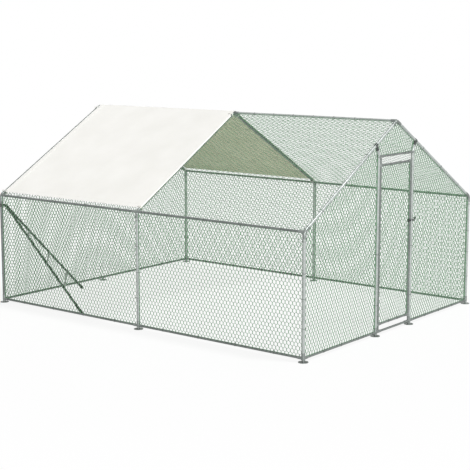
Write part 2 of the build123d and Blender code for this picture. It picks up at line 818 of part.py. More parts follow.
write("net_ties", *net_ties)

leaf = [(-stile_y, leaf_bottom), (stile_y, leaf_bottom), (stile_y, leaf_top), (-stile_y, leaf_top)]
leaf_margins = [rail_margin, stile_margin, rail_margin, stile_margin]
write("leaf_net", net(right_plane, leaf, leaf_margins))
leaf_tubes = (rail_r, stile_r)
write("leaf_net_ties", *panel_ties(right_plane, leaf, leaf_margins, leaf_tubes, (1, 2), (2, 6, 8)))

# Roof cover: one sheet over the ridge, above the rafters, with eyelets for its ties
cover_middle = cover_lift + cover_t / 2
cover_tie_spots = (cover_tie_distance, slope_length - cover_tie_distance)
cover_tie_sides = {-half_length: (cover_tie_side, cover_tie_left_side), 0.0: (cover_tie_side, cover_tie_side)}
cover_eyelets = {-half_length: cover_tie_left_side + cover_tie_t / 2, 0.0: -cover_tie_side - cover_tie_t / 2}


def cover_hem_point(wall):
    hem = eave(0, wall) + rising(wall) * cover_hem + outward(wall) * cover_middle
    return (hem.Y, hem.Z)


with BuildPart() as roof_cover:
    with BuildSketch(Plane.YZ.offset(cover_left)):
        with BuildLine():
            ridge_point = (0, ridge_height + cover_middle / cos(slope))
            FilletPolyline(cover_hem_point(-1), ridge_point, cover_hem_point(1), radius=cover_ridge_bend)
        trace(line_width=cover_t)
    extrude(amount=cover_right - cover_left)
    for wall in (-1, 1):
        for distance in cover_tie_spots:
            for x, eyelet in cover_eyelets.items():
                place = eave(x + eyelet, wall) + rising(wall) * distance + outward(wall) * cover_lift / 2
                rod(place, outward(wall), cover_lift, cover_hole_r, Mode.SUBTRACT)
roof_cover.part.label = "roof_cover"
export_step(roof_cover.part, "parts/roof_cover.step", write_pcurves=False)


def cover_tie(x, wall, distance):
    """Loop round an elbow's arm and over the cover's edge."""
    low, high = cover_tie_sides[x]
    seat = Plane(origin=eave(x, wall) + rising(wall) * distance, x_dir=(1, 0, 0), z_dir=rising(wall) * wall)
    middle = ((high - low) / 2, (cover_tie_above - cover_tie_side) / 2)
    width = low + high
    height = cover_tie_side + cover_tie_above
    with BuildPart() as piece:
        with BuildSketch(seat.offset(-cover_tie_width / 2)):
            with Locations(middle):
                RectangleRounded(width, height, cover_tie_corner)
            offset(amount=cover_tie_t)
            with Locations(middle):
                RectangleRounded(width, height, cover_tie_corner, mode=Mode.SUBTRACT)
        extrude(amount=cover_tie_width)
    return piece.part


cover_ties = []
for x in cover_tie_sides:
    for wall in (-1, 1):
        cover_ties += [cover_tie(x, wall, distance) for distance in cover_tie_spots]
write("cover_ties", *cover_ties)
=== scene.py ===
# %% [markdown]
# # A walk-in metal aviary
# The real thing is a garden run for birds: galvanised tubes pushed into cast elbows, hexagonal wire
# netting on every side, a cloth cover over one bay and a netted door. The tubes and fittings already
# exist as exact solids, so this lesson gives them their finishes, and then makes the two things that
# solids are bad at: thousands of wire meshes and a thin cloth.

import json
from math import atan2, cos, exp, hypot, pi, radians, sin, tan

import bpy
from mathutils import Matrix, Vector
from mathutils.geometry import convex_hull_2d


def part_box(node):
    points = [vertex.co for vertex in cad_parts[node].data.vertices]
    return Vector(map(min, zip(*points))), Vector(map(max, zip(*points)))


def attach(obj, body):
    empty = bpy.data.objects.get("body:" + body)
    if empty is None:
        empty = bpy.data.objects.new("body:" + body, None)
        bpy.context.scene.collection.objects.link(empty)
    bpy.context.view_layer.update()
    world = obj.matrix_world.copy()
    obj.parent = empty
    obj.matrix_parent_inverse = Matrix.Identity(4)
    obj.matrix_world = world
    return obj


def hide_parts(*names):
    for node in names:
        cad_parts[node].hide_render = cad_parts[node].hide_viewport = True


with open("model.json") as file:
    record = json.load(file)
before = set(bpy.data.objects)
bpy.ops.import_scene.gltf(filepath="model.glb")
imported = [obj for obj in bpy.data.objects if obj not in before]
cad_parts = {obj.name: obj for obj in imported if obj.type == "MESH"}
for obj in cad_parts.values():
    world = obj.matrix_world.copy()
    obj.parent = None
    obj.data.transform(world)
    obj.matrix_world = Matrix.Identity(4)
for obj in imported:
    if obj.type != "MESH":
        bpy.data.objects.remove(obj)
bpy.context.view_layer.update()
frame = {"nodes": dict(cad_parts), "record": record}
nodes = frame["nodes"]
scene = bpy.context.scene
MM = 0.001

# %% [markdown]
# ## Three small helpers
# Colours are easiest to pick as sRGB hex values, but shaders work in linear light, so one function
# converts them. Node trees get long quickly. One function that makes a node, sets its properties and
# feeds its sockets keeps each tree readable, for shaders and for Geometry Nodes alike. The third
# starts a material with an empty tree.


# %% Colour and node helpers
def linear(hex_colour):
    """An sRGB hex colour as linear RGBA."""
    channels = [int(hex_colour[i : i + 2], 16) / 255 for i in (1, 3, 5)]
    return tuple(c / 12.92 if c <= 0.04045 else ((c + 0.055) / 1.055) ** 2.4 for c in channels) + (1.0,)


def add_node(tree, kind, feeds=None, **settings):
    """Add a node; feeds maps an input to a value, an output, or a node, for its first output."""
    node = tree.nodes.new(kind)
    for name, value in settings.items():
        setattr(node, name, value)
    for socket, feed in (feeds or {}).items():
        if isinstance(feed, bpy.types.Node):
            feed = feed.outputs[0]
        if isinstance(feed, bpy.types.NodeSocket):
            tree.links.new(feed, node.inputs[socket])
        else:
            node.inputs[socket].default_value = feed
    return node


def new_material(name):
    """A material and its empty node tree."""
    material = bpy.data.materials.new(name)
    material.use_nodes = True
    material.node_tree.nodes.clear()
    return material, material.node_tree


print("mid grey in linear light:", round(linear("#808080")[0], 3))

# %% [markdown]
# ## Finishes of the metal
# Hot-dip galvanised tube is steel with a skin of zinc that froze into crystals, called spangle. It is
# grey, dull and slightly uneven, with patches a hand wide where the zinc ran thicker. A Voronoi
# pattern gives each crystal its own tone and gloss, and a soft noise gives the patches. A picture
# could be wrapped round the tubes instead, but a pattern in object space needs no unwrapping and
# never repeats.

# %% Zinc finishes
# The crystals' part in the tone, the tones that give the dark and the light colour, and how far the
# roughness swings about its mean.
grain_share = 0.4
dark_tone = 0.4
light_tone = 1.0
gloss_swing = 0.08


def zinc_finish(name, dark, light, metallic, rough, grain_mm, patch_mm):
    """Zinc-coated steel: crystal grains with their own tone, on slow patches of thicker zinc."""
    material, tree = new_material(name)
    place = add_node(tree, "ShaderNodeTexCoord").outputs["Object"]
    grains = add_node(tree, "ShaderNodeTexVoronoi", {"Vector": place, "Scale": 1 / (grain_mm * MM)})
    grain = add_node(tree, "ShaderNodeSeparateColor", {0: grains.outputs["Color"]})
    patches = add_node(
        tree, "ShaderNodeTexNoise", {"Vector": place, "Scale": 1 / (patch_mm * MM), "Detail": 4.0}
    )
    tone = add_node(
        tree, "ShaderNodeMath", {0: grain, 1: grain_share, 2: patches}, operation="MULTIPLY_ADD"
    )
    shade = add_node(
        tree, "ShaderNodeMapRange", {"Value": tone, "From Min": dark_tone, "From Max": light_tone}
    )
    colour = add_node(
        tree, "ShaderNodeMix", {0: shade, 6: linear(dark), 7: linear(light)}, data_type="RGBA"
    )
    gloss = add_node(
        tree,
        "ShaderNodeMapRange",
        {"Value": shade, "To Min": rough + gloss_swing, "To Max": rough - gloss_swing},
    )
    bump = add_node(tree, "ShaderNodeBump", {"Height": tone, "Strength": 0.2, "Distance": 0.2 * MM})
    surface = add_node(
        tree,
        "ShaderNodeBsdfPrincipled",
        {"Base Color": colour.outputs[2], "Metallic": metallic, "Roughness": gloss, "Normal": bump},
    )
    add_node(tree, "ShaderNodeOutputMaterial", {"Surface": surface})
    return material


# Hot-dip galvanised tube is dull grey with faint spangle. Real crystals are a few millimetres wide;
# they are drawn 14 mm wide, so that they show.
galvanised_tube = zinc_finish("hot_dip_galvanised_tube", "#969c99", "#b0b6b3", 0.3, 0.32, 14, 180)
# Rails and the other tubes of the first list below: the same spangle in a darker grey, which is painted
# shade.
shade_painted_tube = zinc_finish("galvanised_tube_painted_shade", "#5f6562", "#777d7a", 0.3, 0.32, 14, 180)
# Nearly black zinc, bright only along its highlight: painted shade on the perch under the cover, and the
# same dark tone on the clamps and the latch.
dark_zinc_and_shade = zinc_finish("dark_zinc_and_painted_shade", "#3f4441", "#565b58", 0.6, 0.22, 14, 180)
# Zinc-plated castings are a little darker and rougher than the tubes, with a fine cast grain.
zinc_casting = zinc_finish("zinc_plated_casting", "#757b78", "#8e9491", 0.85, 0.45, 3, 90)
# Lacing wire is drawn and galvanised: plain grey.
lacing_wire = zinc_finish("galvanised_lacing_wire", "#626b65", "#7f8782", 0.7, 0.5, 4, 60)
# Bright zinc on screws, pins and eyelets is lighter and shinier.
bright_zinc = zinc_finish("bright_zinc_plate", "#9ea2a4", "#c2c5c7", 0.9, 0.32, 2, 40)
zincs = (galvanised_tube, shade_painted_tube, dark_zinc_and_shade, zinc_casting, lacing_wire, bright_zinc)
print("zinc finishes:", [material.name for material in zincs])

# %% [markdown]
# ## Finishes of the plastic
# The netting is steel wire dipped in soft PVC, which leaves a satin grey-green skin of uneven
# thickness. The perch's end caps and the door's hinge bushes are moulded black polyamide, and the
# cover's ties are the same in white, all with a fine leathery mould grain. These are ordinary
# plastics, so they share one recipe: two tones of one colour in slow patches, and a bump at the size
# of the grain.


# %% Plastic finishes
def plastic_finish(name, dark, light, rough, grain_mm, patch_mm, grain_depth_mm):
    """Plastic with two close tones and a fine surface grain."""
    material, tree = new_material(name)
    place = add_node(tree, "ShaderNodeTexCoord").outputs["Object"]
    patches = add_node(
        tree, "ShaderNodeTexNoise", {"Vector": place, "Scale": 1 / (patch_mm * MM), "Detail": 3.0}
    )
    grain = add_node(
        tree, "ShaderNodeTexNoise", {"Vector": place, "Scale": 1 / (grain_mm * MM), "Detail": 2.0}
    )
    shade = add_node(tree, "ShaderNodeMapRange", {"Value": patches, "From Min": 0.3, "From Max": 0.7})
    colour = add_node(
        tree, "ShaderNodeMix", {0: shade, 6: linear(dark), 7: linear(light)}, data_type="RGBA"
    )
    gloss = add_node(
        tree,
        "ShaderNodeMapRange",
        {"Value": grain, "To Min": rough - gloss_swing, "To Max": rough + gloss_swing},
    )
    bump = add_node(
        tree, "ShaderNodeBump", {"Height": grain, "Strength": 0.4, "Distance": grain_depth_mm * MM}
    )
    surface = add_node(
        tree,
        "ShaderNodeBsdfPrincipled",
        {"Base Color": colour.outputs[2], "Roughness": gloss, "IOR": 1.52, "Normal": bump},
    )
    add_node(tree, "ShaderNodeOutputMaterial", {"Surface": surface})
    return material


# PVC-coated wire: satin, grey-green, lighter where the dip is thick.
coated_wire = plastic_finish("pvc_coated_wire", "#62906b", "#77a47f", 0.5, 2, 45, 0.1)
# Polyester sewing thread: off-white and slightly shiny.
sewing_thread = plastic_finish("polyester_thread", "#dedcd4", "#efede6", 0.45, 1, 20, 0.1)
# Moulded black polyamide: matte, nearly black, with a mould grain of about 1 mm.
black_plastic = plastic_finish("moulded_black_polyamide", "#131414", "#222323", 0.55, 1, 30, 0.1)
# The same in white, for the cover's ties: matte, slightly warm.
white_nylon = plastic_finish("moulded_white_polyamide", "#dedcd4", "#ebe9e3", 0.5, 1, 30, 0.1)
plastics = (coated_wire, sewing_thread, black_plastic, white_nylon)
print("plastic finishes:", [material.name for material in plastics])

# %% [markdown]
# ## Finish of the cover
# The cover is woven polyethylene tape with a coat on both faces: white outside, khaki inside. Close
# up it shows a grid of flat tapes. The sheet's own map, in metres, drives two wave patterns, one for
# each direction of the weave, so the tapes follow the cloth over the ridge.

# %% Cover finishes
# At a scale of 1, the wave pattern repeats every 0.314 m and the noise about every metre. Soil lies
# in patches about a third of a metre wide, and the weave has a smaller part in the tone.
wave_repeat = 0.314
soil_patch = 1 / 3
weave_share = 0.35


def tape_weave(name, dark, light, rough, tape_mm):
    """Coated tape cloth: crossing tapes as bump and a slight change of tone."""
    material, tree = new_material(name)
    flat = add_node(tree, "ShaderNodeUVMap", uv_map="cloth").outputs[0]
    waves = []
    for direction in ("X", "Y"):
        wave = add_node(
            tree,
            "ShaderNodeTexWave",
            {"Vector": flat, "Scale": wave_repeat / (tape_mm * MM)},
            bands_direction=direction,
        )
        waves.append(wave.outputs["Fac"])
    weave = add_node(tree, "ShaderNodeMath", {0: waves[0], 1: waves[1]}, operation="MULTIPLY")
    soil = add_node(tree, "ShaderNodeTexNoise", {"Vector": flat, "Scale": 1 / soil_patch, "Detail": 5.0})
    tone = add_node(tree, "ShaderNodeMath", {0: weave, 1: weave_share, 2: soil}, operation="MULTIPLY_ADD")
    shade = add_node(tree, "ShaderNodeMapRange", {"Value": tone, "From Min": 0.35, "From Max": 0.9})
    colour = add_node(
        tree, "ShaderNodeMix", {0: shade, 6: linear(dark), 7: linear(light)}, data_type="RGBA"
    )
    bump = add_node(tree, "ShaderNodeBump", {"Height": weave, "Strength": 0.25, "Distance": 0.3 * MM})
    surface = add_node(
        tree,
        "ShaderNodeBsdfPrincipled",
        {"Base Color": colour.outputs[2], "Roughness": rough, "IOR": 1.5, "Normal": bump},
    )
    add_node(tree, "ShaderNodeOutputMaterial", {"Surface": surface})
    return material


# Coated white tape: satin and clean. The tapes are 3 mm wide on the real cloth and drawn 6 mm wide, so
# that they show.
cover_outside = tape_weave("coated_tape_cloth_white", "#eeede8", "#f6f5f1", 0.55, 6)
# Its khaki underside: the same weave, slightly rougher.
cover_inside = tape_weave("coated_tape_cloth_khaki", "#d8d4bb", "#e4e0c9", 0.6, 6)
print("cover finishes:", cover_outside.name, cover_inside.name)

# %% [markdown]
# ## Dress the solids
# The imported record says which material slot each solid belongs to. A table from slot to finish is
# enough to dress them all, and a new tube added to the model later gets the right finish by itself.
# Two lists then turn some of them darker. The first holds the rails, the left and middle rafters, the
# front left post and the door's stiles, sill and lintel, and its darker grey is painted shade. The second
# holds the perch, the clamps and the latch; its near-black is painted shade on the perch, and the clamps
# and the latch share that tone.

# %% Give every solid its finish
finishes = {
    "galvanised_tube": galvanised_tube,
    "zinc_casting": zinc_casting,
    "coated_wire": coated_wire,
    "tie_wire": lacing_wire,
    "bright_zinc": bright_zinc,
    "black_plastic": black_plastic,
    "white_nylon": white_nylon,
    "cover_fabric": cover_outside,
}
for subpart in frame["record"]["subparts"]:
    mesh = nodes[subpart["node"]].data
    mesh.materials.clear()
    mesh.materials.append(finishes[subpart["material_slot"]])
shade_painted_pieces = [name for name in nodes if name.endswith("_rails")] + ["door_sill", "door_lintel"]
shade_painted_pieces += [f"rafter_{side}_{bay}" for side in ("front", "back") for bay in ("left", "middle")]
shade_painted_pieces += ["post_front_left", "leaf_hinge_stile", "leaf_latch_stile"]
dark_and_shaded_pieces = ["perch_leg_front", "perch_leg_side", "perch_rungs", "perch_head"]
dark_and_shaded_pieces += ["rafter_clamps", "latch_clamp", "latch_bar"]
# Painted shade: these pieces take the darker grey of the same zinc.
for name in shade_painted_pieces:
    nodes[name].data.materials[0] = shade_painted_tube
# Near-black: painted shade on the perch, and the same dark tone on the clamps and the latch.
for name in dark_and_shaded_pieces:
    nodes[name].data.materials[0] = dark_zinc_and_shade
print("dressed", len(nodes), "solids,", len(shade_painted_pieces), "dull and", len(dark_and_shaded_pieces), "dark")

# %% [markdown]
# ## Hexagonal netting
# The netting is machine-twisted wire: two wires meet, twist round each other for about 20 mm, and
# part again to the left and the right. The twisted stretches stand upright and the single wires
# zigzag between them. Modelling one mesh and copying it would leave loose ends at the borders. So a
# Geometry Nodes tree starts from a sheet of triangles, takes its dual, which is a sheet of hexagons,
# pulls the outer corners onto the panel's border, and only then gives the edges their thickness.

# %% The netting's inputs, and how every tree starts and ends
# Real netting wire is about 1 mm thick. It is drawn thicker, so that the net shows from far away.
net_inputs = {
    "Mesh width": 40 * MM,
    "Row height": 33 * MM,
    "Wire diameter": 5.0 * MM,
    "Twist turn": 1.5 * pi,
}


def new_tree(name, takes, numbers, gives):
    """A Geometry Nodes tree that takes a shape, numbers and a finish, with its inputs' sockets."""
    tree = bpy.data.node_groups.new(name, "GeometryNodeTree")
    tree.interface.new_socket(takes, in_out="INPUT", socket_type="NodeSocketGeometry")
    for number, value in numbers.items():
        socket = tree.interface.new_socket(number, in_out="INPUT", socket_type="NodeSocketFloat")
        socket.default_value = value
    tree.interface.new_socket("Finish", in_out="INPUT", socket_type="NodeSocketMaterial")
    tree.interface.new_socket(gives, in_out="OUTPUT", socket_type="NodeSocketGeometry")
    return tree, add_node(tree, "NodeGroupInput").outputs


def close_tree(tree, shape, finish):
    """End a tree: make its shape real, give it a finish and hand it out."""
    real = add_node(tree, "GeometryNodeRealizeInstances", {0: shape})
    finished = add_node(tree, "GeometryNodeSetMaterial", {"Geometry": real, "Material": finish})
    add_node(tree, "NodeGroupOutput", {0: finished})
    print(tree.name, "has", len(tree.nodes), "nodes")


net_tree, given = new_tree("hexagonal_netting", "Panel", net_inputs, "Net")
print("netting inputs:", list(net_inputs))

# %% A sheet of meshes that is a little larger than the panel
spare_meshes = (3.0, 3.0, 0.0)
extent = add_node(net_tree, "GeometryNodeBoundBox", {0: given["Panel"]}).outputs
size = add_node(
    net_tree, "ShaderNodeVectorMath", {0: extent["Max"], 1: extent["Min"]}, operation="SUBTRACT"
)
both = add_node(net_tree, "ShaderNodeVectorMath", {0: extent["Min"], 1: extent["Max"]}, operation="ADD")
centre = add_node(net_tree, "ShaderNodeVectorMath", {0: both, "Scale": 0.5}, operation="SCALE")
pitch = add_node(
    net_tree, "ShaderNodeCombineXYZ", {0: given["Mesh width"], 1: given["Row height"], 2: 1.0}
)
meshes = add_node(net_tree, "ShaderNodeVectorMath", {0: size, 1: pitch}, operation="DIVIDE")
whole = add_node(net_tree, "ShaderNodeVectorMath", {0: meshes}, operation="CEIL")
counts = add_node(net_tree, "ShaderNodeVectorMath", {0: whole, 1: spare_meshes}, operation="ADD")
spread = add_node(net_tree, "ShaderNodeVectorMath", {0: counts, 1: pitch}, operation="MULTIPLY")
lines = add_node(net_tree, "ShaderNodeVectorMath", {0: counts, 1: (1.0, 1.0, 0.0)}, operation="ADD")
width_height = add_node(net_tree, "ShaderNodeSeparateXYZ", {0: spread}).outputs
columns_rows = add_node(net_tree, "ShaderNodeSeparateXYZ", {0: lines}).outputs
grid = add_node(
    net_tree,
    "GeometryNodeMeshGrid",
    {0: width_height[0], 1: width_height[1], 2: columns_rows[0], 3: columns_rows[1]},
)
print("netting tree so far:", len(net_tree.nodes), "nodes")

# %% Every other row shifted by half a mesh, then triangles, then hexagons
here = add_node(net_tree, "GeometryNodeInputPosition")
from_corner = add_node(
    net_tree, "ShaderNodeVectorMath", {0: spread, 1: (0.5, 0.5, 0.5), 2: here}, operation="MULTIPLY_ADD"
)
in_meshes = add_node(net_tree, "ShaderNodeVectorMath", {0: from_corner, 1: pitch}, operation="DIVIDE")
row = add_node(net_tree, "ShaderNodeSeparateXYZ", {0: in_meshes}).outputs[1]
row_number = add_node(net_tree, "ShaderNodeMath", {0: row}, operation="ROUND")
odd_row = add_node(net_tree, "ShaderNodeMath", {0: row_number, 1: 2.0}, operation="MODULO")
half_mesh = add_node(net_tree, "ShaderNodeMath", {0: given["Mesh width"], 1: 2.0}, operation="DIVIDE")
shift = add_node(net_tree, "ShaderNodeMath", {0: odd_row, 1: half_mesh}, operation="MULTIPLY")
sideways = add_node(net_tree, "ShaderNodeCombineXYZ", {0: shift})
offset = add_node(net_tree, "ShaderNodeVectorMath", {0: sideways, 1: centre}, operation="ADD")
shifted = add_node(net_tree, "GeometryNodeSetPosition", {"Geometry": grid, "Offset": offset})
triangles = add_node(net_tree, "GeometryNodeTriangulate", {0: shifted})
hexagons = add_node(net_tree, "GeometryNodeDualMesh", {0: triangles})
print("netting tree so far:", len(net_tree.nodes), "nodes")

# %% Mark the upright edges, then draw the border in
# Shares of the mesh width: an upright edge leans less than the first, a point further outside the
# panel than the second is cut off, and points closer than the third become one.
lean_share = 0.1
trim_share = 0.75
merge_share = 0.06
mesh_width = given["Mesh width"]
lean_limit = add_node(net_tree, "ShaderNodeMath", {0: mesh_width, 1: lean_share}, operation="MULTIPLY")
trim_limit = add_node(net_tree, "ShaderNodeMath", {0: mesh_width, 1: trim_share}, operation="MULTIPLY")
merge_limit = add_node(net_tree, "ShaderNodeMath", {0: mesh_width, 1: merge_share}, operation="MULTIPLY")
ends = add_node(net_tree, "GeometryNodeInputMeshEdgeVertices").outputs
across = add_node(
    net_tree, "ShaderNodeVectorMath", {0: ends["Position 1"], 1: ends["Position 2"]}, operation="SUBTRACT"
)
sidestep = add_node(net_tree, "ShaderNodeSeparateXYZ", {0: across})
lean = add_node(net_tree, "ShaderNodeMath", {0: sidestep}, operation="ABSOLUTE")
upright = add_node(net_tree, "ShaderNodeMath", {0: lean, 1: lean_limit}, operation="LESS_THAN")
marked = add_node(
    net_tree,
    "GeometryNodeStoreNamedAttribute",
    {"Geometry": hexagons, "Name": "twisted", "Value": upright},
    data_type="FLOAT",
    domain="EDGE",
)
nearest = add_node(net_tree, "GeometryNodeProximity", {0: given["Panel"]}, target_element="FACES").outputs
outside = add_node(
    net_tree, "ShaderNodeMath", {0: nearest["Distance"], 1: trim_limit}, operation="GREATER_THAN"
)
trimmed = add_node(net_tree, "GeometryNodeDeleteGeometry", {0: marked, 1: outside}, domain="POINT")
drawn_in = add_node(
    net_tree, "GeometryNodeSetPosition", {"Geometry": trimmed, "Position": nearest["Position"]}
)
joined = add_node(
    net_tree, "GeometryNodeMergeByDistance", {"Geometry": drawn_in, "Distance": merge_limit}
)
print("netting tree so far:", len(net_tree.nodes), "nodes")

# %% Give the single wires a three-sided section and the twists a turning flat section
# The flat section of a twisted pair, in wire diameters.
pair_width = 1.1
pair_height = 0.8
twisted = add_node(net_tree, "GeometryNodeInputNamedAttribute", {"Name": "twisted"}, data_type="FLOAT")
single = add_node(net_tree, "ShaderNodeMath", {0: 1.0, 1: twisted}, operation="SUBTRACT")
wire = given["Wire diameter"]
wire_radius = add_node(net_tree, "ShaderNodeMath", {0: wire, 1: 2.0}, operation="DIVIDE")
zigzags = add_node(net_tree, "GeometryNodeMeshToCurve", {0: joined, 1: single})
wire_section = add_node(
    net_tree, "GeometryNodeCurvePrimitiveCircle", {"Resolution": 3, "Radius": wire_radius}
)
wires = add_node(net_tree, "GeometryNodeCurveToMesh", {0: zigzags, 1: wire_section})
uprights = add_node(net_tree, "GeometryNodeMeshToCurve", {0: joined, 1: twisted})
stepped = add_node(net_tree, "GeometryNodeResampleCurve", {"Curve": uprights, "Count": 4})
along = add_node(net_tree, "GeometryNodeSplineParameter").outputs["Factor"]
tilt = add_node(net_tree, "ShaderNodeMath", {0: along, 1: given["Twist turn"]}, operation="MULTIPLY")
turning = add_node(net_tree, "GeometryNodeSetCurveTilt", {"Curve": stepped, "Tilt": tilt})
pair_wide = add_node(net_tree, "ShaderNodeMath", {0: wire, 1: pair_width}, operation="MULTIPLY")
pair_high = add_node(net_tree, "ShaderNodeMath", {0: wire, 1: pair_height}, operation="MULTIPLY")
pair_section = add_node(
    net_tree, "GeometryNodeCurvePrimitiveQuadrilateral", {0: pair_wide, 1: pair_high}
)
twists = add_node(net_tree, "GeometryNodeCurveToMesh", {0: turning, 1: pair_section})
all_wires = add_node(net_tree, "GeometryNodeJoinGeometry", {0: wires})
net_tree.links.new(twists.outputs[0], all_wires.inputs[0])
close_tree(net_tree, all_wires, given["Finish"])

# %% [markdown]
# ## A net for each panel
# Each panel's border is read from the solid that stands for it: all panels are convex, so the hull of
# its points, seen square on, is the border. The roof panels lie in the slope, so their first axis
# climbs from the eave to the ridge.


# %% Helpers that freeze a modifier's result and make a piece of it
def new_holder(mesh, modifier_kind):
    """An object that carries a mesh and one modifier until its result is frozen."""
    holder = bpy.data.objects.new("holder", mesh)
    scene.collection.objects.link(holder)
    return holder, holder.modifiers.new("shape", modifier_kind)


def frozen(holder):
    """The plain mesh that a holder's modifier makes. The holder itself goes."""
    bpy.context.view_layer.update()
    depsgraph = bpy.context.evaluated_depsgraph_get()
    mesh = bpy.data.meshes.new_from_object(holder.evaluated_get(depsgraph))
    bpy.data.objects.remove(holder)
    return mesh


def grown(tree, base_mesh, values):
    """The plain mesh that a node tree makes of base_mesh, with inputs set by their names."""
    holder, modifier = new_holder(base_mesh, "NODES")
    modifier.node_group = tree
    for item in tree.interface.items_tree:
        if item.in_out == "INPUT" and item.name in values:
            modifier[item.identifier] = values[item.name]
    return frozen(holder)


def new_piece(name, mesh, body):
    """Link a finished mesh as a piece that rides on a body."""
    mesh.name = name
    piece = bpy.data.objects.new(name, mesh)
    scene.collection.objects.link(piece)
    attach(piece, body)
    return piece


# %% One panel of netting, and the border that it fills
# The netting is tied to the tubes, so it reaches a little further than the solid that stands for it.
net_reach = 6 * MM


def widened(corners, reach):
    """A convex outline, given counter-clockwise, with every side moved outwards by reach."""
    points = []
    for before, corner, after in zip(corners[-1:] + corners[:-1], corners, corners[1:] + corners[:1]):
        came = (corner - before).normalized()
        goes = (after - corner).normalized()
        out = Vector((came.y + goes.y, -came.x - goes.x))
        points.append(corner + out * reach / (1 + came.dot(goes)))
    return points


def panel_border(node, keep, first, second):
    """Corners of one panel of a net's solid, along two axes, and its height along the third."""
    points = [v.co for v in nodes[node].data.vertices if keep(v.co)]
    flat = [(p.dot(first), p.dot(second)) for p in points]
    heights = [p.dot(first.cross(second)) for p in points]
    hull = [Vector(flat[i]) for i in convex_hull_2d(flat)]
    return widened(hull, net_reach), (min(heights) + max(heights)) / 2


def make_net(name, node, body, keep, first, second, wire_diameter=net_inputs["Wire diameter"]):
    """One panel of netting, which stands for one panel of a net's solid."""
    corners, height = panel_border(node, keep, first, second)
    panel = bpy.data.meshes.new(name + "_panel")
    panel.from_pydata([(u, v, 0.0) for u, v in corners], [], [range(len(corners))])
    values = {**net_inputs, "Wire diameter": wire_diameter, "Finish": coated_wire}
    mesh = grown(net_tree, panel, values)
    normal = first.cross(second)
    placement = Matrix((first, second, normal)).transposed().to_4x4()
    placement.translation = normal * height
    mesh.transform(placement)
    piece = new_piece(name, mesh, body)
    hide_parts(node)
    print(name, len(corners), "corners", sum(len(p.vertices) - 2 for p in mesh.polygons), "triangles")
    return piece


print("nets reach", net_reach, "m past their solids")

# %% Nets of the walls and the roof
eave_height = 1.157
ridge_height = 2.030
half_width = 1.5
slope = atan2(ridge_height - eave_height, half_width)
along_x = Vector((1, 0, 0))
along_y = Vector((0, 1, 0))
upwards = Vector((0, 0, 1))
climbs = {"front": Vector((0, cos(slope), sin(slope))), "back": Vector((0, -cos(slope), sin(slope)))}
bays = {"left": lambda p: p.x < 0, "right": lambda p: p.x > 0}
# The roof is seen at a low angle, where wires crowd, and on the left against the cover. Finer wire
# keeps the net's tone light there.
roof_wires = {"left": 1.4 * MM, "right": 3.2 * MM}
for side, climb in climbs.items():
    for bay, in_bay in bays.items():
        make_net(f"{side}_wall_net_{bay}", f"{side}_wall_nets", "frame", in_bay, along_x, upwards)
        roof_net, roof_node = f"{side}_roof_net_{bay}", f"{side}_roof_nets"
        make_net(roof_net, roof_node, "frame", in_bay, climb, along_x, roof_wires[bay])

# %% Nets of the gables and the door
door_post_y = 0.325
door_sides = {
    "front": lambda p: p.y < -door_post_y,
    "above_door": lambda p: abs(p.y) < door_post_y,
    "back": lambda p: p.y > door_post_y,
}
for place, in_place in door_sides.items():
    make_net(f"right_gable_net_{place}", "right_gable_nets", "frame", in_place, along_y, upwards)
make_net("left_gable_net_whole", "left_gable_net", "frame", lambda p: True, along_y, upwards)
make_net("door_leaf_net", "leaf_net", "leaf", lambda p: True, along_y, upwards)

# %% [markdown]
# ## The cover
# A sheet of coated tape cloth lies over the rafters of the left bay and hangs down both slopes. A wide
# hem runs round it, its right edge is turned down over the middle rafter, and eyelets take the ties. A
# cloth simulation would drape it, but it is pulled tight, so its shape is known: two flat slopes, a
# tight bend over the ridge and a few millimetres of sag between the rafters. A formula gives each
# point, from its place on the flat sheet.

# %% Sizes of the sheet
cover_low, cover_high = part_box("roof_cover")
cover_width = cover_high[0] - cover_low[0]
# Its height over the rafters' axes, its bend over the ridge, and how far it ends short of the eave.
cover_lift = 19.6 * MM
cover_bend = 30 * MM
cover_hem_rise = 42 * MM
cover_thickness = 1.2 * MM
slope_length = hypot(half_width, ridge_height - eave_height)
bend_half = cover_bend * slope
bend_centre = ridge_height + cover_lift / cos(slope) - cover_bend / cos(slope)
ridge_to_bend = bend_half + (cover_lift - cover_bend) * tan(slope)
cover_half = ridge_to_bend + slope_length - cover_hem_rise
# It sags between the rafters, and puckers towards its lower edges.
cover_sag = 5 * MM
pucker_depth = 1.6 * MM
pucker_length = 0.21
pucker_fade = 0.12
# The right edge bends down over the rafter, except at the ridge, where the elbow is in the way.
lip_bend = 5 * MM
lip_drop = 10 * MM
lip_notch = 90 * MM
lip_overhang = 2.4 * MM
lip_start = cover_width + lip_overhang - lip_bend
lip_turned = lip_bend * pi / 2
lip_end = lip_start + lip_turned + lip_drop - lip_bend
# The hem is a second layer of cloth, so the sheet steps up at its border, within a millimetre.
hem_width = 60 * MM
hem_step = 0.8 * MM
hem_ramp = 1 * MM
print("cover: flat", round(lip_end, 3), "by", round(2 * cover_half, 3), "m")


